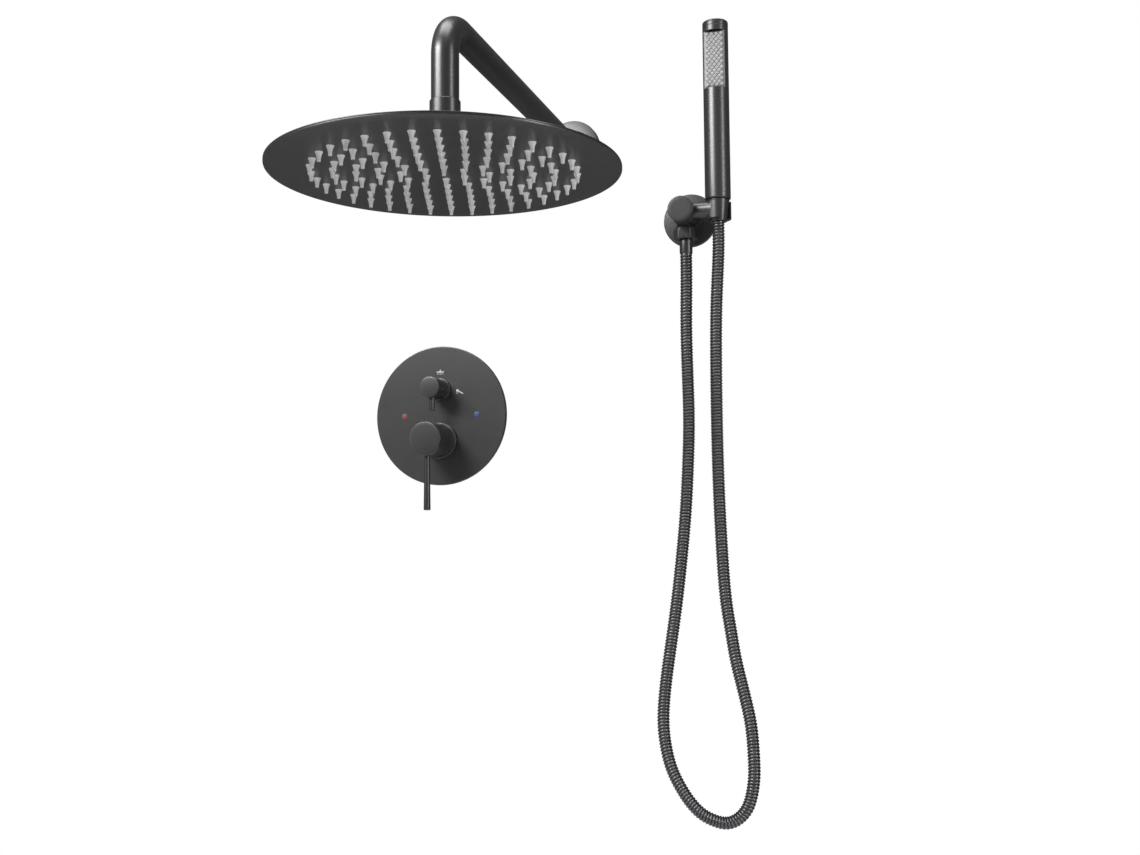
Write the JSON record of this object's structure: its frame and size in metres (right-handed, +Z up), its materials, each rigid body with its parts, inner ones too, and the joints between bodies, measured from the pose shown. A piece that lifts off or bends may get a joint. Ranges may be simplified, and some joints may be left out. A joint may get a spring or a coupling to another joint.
{
  "type": "concealed shower set",
  "caption": "Wall-mounted shower set: round rain head on a bent arm, round mixer and diverter trim with its in-wall valve, slim hand shower on a slotted holder, ribbed hose.",
  "frame": {"origin": "centre of the trim plate's back face, on the wall", "axes": "+Z up, +Y into the wall, +X to the right as seen from the room"},
  "size_m": [0.4585, 0.5975, 0.8697],
  "materials": {
    "matte_black": "matte powder coat on brass and steel",
    "black_abs": "matte black on moulded plastic",
    "hose_black": "gunmetal black ribbed hose",
    "seal_rubber": "plain",
    "silicone": "light grey silicone",
    "brass": "machined",
    "stainless": "plain",
    "white_nylon": "moulded",
    "hot_red": "enamel dot",
    "cold_blue": "enamel dot",
    "mark_white": "printed mark"
  },
  "bodies": {
    "wall_set": {"shower_arm": "matte_black", "arm_flange": "matte_black", "arm_flange_seal": "seal_rubber", "ball_stem": "matte_black", "inlet_strainer": "stainless", "valve_body": "brass", "mixer_cartridge": "white_nylon", "cartridge_nut": "brass", "diverter_cartridge": "white_nylon", "diverter_nut": "brass", "trim_plate": "matte_black", "trim_seal": "seal_rubber", "mixer_sleeve": "matte_black", "mixer_sleeve_seal": "seal_rubber", "diverter_sleeve": "matte_black", "diverter_sleeve_seal": "seal_rubber", "hot_mark": "hot_red", "cold_mark": "cold_blue", "rain_mark": "mark_white", "hand_mark": "mark_white", "bracket_body": "matte_black", "bracket_flange": "matte_black", "bracket_flange_seal": "seal_rubber", "holder_arm": "matte_black", "check_valve": "white_nylon", "hose_hex_nut": "matte_black", "hex_nut_washer": "seal_rubber", "hose_inlet_tail": "brass", "hose_ferrule": "matte_black", "hose_tube": "hose_black"},
    "head_tilt_ring": {"ball_seal": "seal_rubber"},
    "head_sway_ring": {"ball_glide": "white_nylon"},
    "rain_head": {"ball_cup": "matte_black", "ball_nut": "matte_black", "hub_lock_nut": "brass", "hub_seal": "seal_rubber", "head_cover": "matte_black", "head_face_plate": "matte_black", "nozzle_mat": "silicone"},
    "mixer_turn_yoke": {"mixer_turret": "white_nylon", "turret_pin": "stainless"},
    "mixer_handle": {"mixer_spindle": "brass", "mixer_knob": "matte_black", "mixer_lever": "matte_black", "mixer_set_screw": "stainless"},
    "diverter_handle": {"diverter_spindle": "brass", "diverter_knob": "matte_black", "diverter_pin": "matte_black", "diverter_set_screw": "stainless"},
    "hose_end": {"hose_cone_nut": "matte_black", "hose_outlet_tail": "brass", "cone_nut_washer": "seal_rubber"},
    "handset": {"handset_tail": "matte_black", "handset_tube": "black_abs", "handset_core": "white_nylon", "handset_spray_plate": "silicone", "handset_cap": "black_abs"}
  },
  "joints": [
    {"name": "head_tilt", "type": "hinge", "parent": "wall_set", "child": "head_tilt_ring", "pos_m": [0.166, -0.39, 0.2], "axis": [1, 0, 0], "range_deg": [-12, 12]},
    {"name": "head_sway", "type": "hinge", "parent": "head_tilt_ring", "child": "head_sway_ring", "pos_m": [0.166, -0.39, 0.2], "axis": [0, 1, 0], "range_deg": [-12, 12]},
    {"name": "head_spin", "type": "hinge", "parent": "head_sway_ring", "child": "rain_head", "pos_m": [0.166, -0.39, 0.2], "axis": [0, 0, 1], "range_deg": [-180, 180]},
    {"name": "mixer_temperature", "type": "hinge", "parent": "wall_set", "child": "mixer_turn_yoke", "pos_m": [0, -0.002, -0.03], "axis": [0, -1, 0], "range_deg": [-50, 50]},
    {"name": "mixer_flow", "type": "hinge", "parent": "mixer_turn_yoke", "child": "mixer_handle", "pos_m": [0, -0.002, -0.03], "axis": [-1, 0, 0], "range_deg": [0, 20]},
    {"name": "diverter_turn", "type": "hinge", "parent": "wall_set", "child": "diverter_handle", "pos_m": [0, 0, 0.031], "axis": [0, -1, 0], "range_deg": [0, 180]},
    {"name": "handset_lift", "type": "slide", "parent": "wall_set", "child": "hose_end", "axis": [0, 0, 1], "range_m": [0, 0.05]},
    {"name": "handset_turn", "type": "hinge", "parent": "hose_end", "child": "handset", "pos_m": [0.341, -0.041, 0.222], "axis": [0, 0, 1], "range_deg": [-90, 90]}
  ]
}
